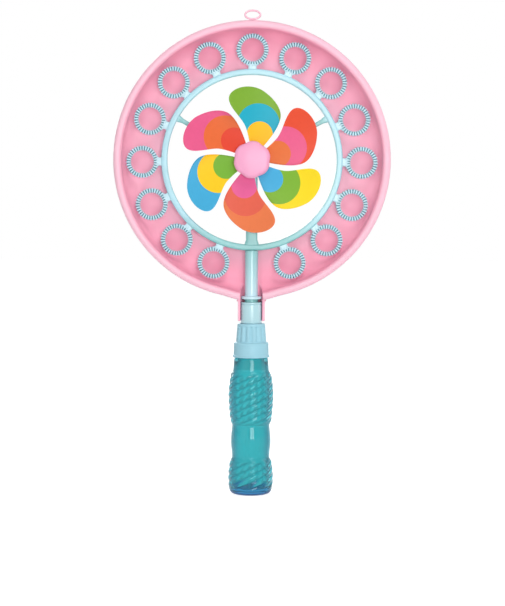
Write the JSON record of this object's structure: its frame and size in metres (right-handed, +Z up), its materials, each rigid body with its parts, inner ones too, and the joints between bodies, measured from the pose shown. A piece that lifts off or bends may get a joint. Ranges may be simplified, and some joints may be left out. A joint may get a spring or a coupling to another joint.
{
  "type": "bubble fan",
  "caption": "Hand-held bubble fan: ribbed bubble rings on a hoop with a pinwheel, clipped in a ring-shaped dipping tray, on a screw-on soap bottle that is the handle.",
  "frame": {"origin": "middle of the flat bottle foot", "axes": "+Z up the handle, +Y to the back of the tray, +X right seen from the front"},
  "size_m": [0.2624, 0.043, 0.4594],
  "materials": {
    "bottle_teal": "blown translucent bottle",
    "seal_white": "soft foam washer",
    "light_blue": "moulded, lightly polished",
    "pin_steel": "turned",
    "hub_pink": "moulded, satin",
    "tray_pink": "moulded, satin",
    "print_blade_1": "plastic sheet printed in three nested colour bands",
    "print_blade_2": "plastic sheet printed in three nested colour bands",
    "print_blade_3": "plastic sheet printed in three nested colour bands",
    "print_blade_4": "plastic sheet printed in three nested colour bands",
    "print_blade_5": "plastic sheet printed in three nested colour bands",
    "print_blade_6": "plastic sheet printed in three nested colour bands"
  },
  "bodies": {
    "bottle": {"bottle": "bottle_teal"},
    "lift": {"cap_seal": "seal_white"},
    "wand": {"screw_cap": "light_blue", "stem": "light_blue", "wand_hoop": "light_blue", "bubble_ring_01": "light_blue", "bubble_ring_02": "light_blue", "bubble_ring_03": "light_blue", "bubble_ring_04": "light_blue", "bubble_ring_05": "light_blue", "bubble_ring_06": "light_blue", "bubble_ring_07": "light_blue", "bubble_ring_08": "light_blue", "bubble_ring_09": "light_blue", "bubble_ring_10": "light_blue", "bubble_ring_11": "light_blue", "bubble_ring_12": "light_blue", "bubble_ring_13": "light_blue", "bubble_ring_14": "light_blue", "bubble_ring_15": "light_blue", "axle_pin": "pin_steel"},
    "pinwheel": {"hub_carrier": "hub_pink", "blade_1": "print_blade_1", "blade_2": "print_blade_2", "blade_3": "print_blade_3", "blade_4": "print_blade_4", "blade_5": "print_blade_5", "blade_6": "print_blade_6", "hub_cap": "hub_pink"},
    "tray": {"tray": "tray_pink"}
  },
  "joints": [
    {"name": "screw_lift", "type": "slide", "parent": "bottle", "child": "lift", "axis": [0, 0, 1], "range_m": [0, 0.008]},
    {"name": "screw_turn", "type": "hinge", "parent": "lift", "child": "wand", "pos_m": [0, 0, 0.1368], "axis": [0, 0, 1], "range_deg": [0, 720]},
    {"name": "pinwheel_spin", "type": "hinge", "parent": "wand", "child": "pinwheel", "pos_m": [0, -0.009, 0.3184], "axis": [0, 1, 0], "continuous": true},
    {"name": "tray_off", "type": "slide", "parent": "wand", "child": "tray", "axis": [0, 1, 0], "range_m": [0, 0.06]}
  ],
  "couplings": [
    {"joint": "screw_lift", "follows": "screw_turn", "m_per_rad": 0.00063662}
  ]
}
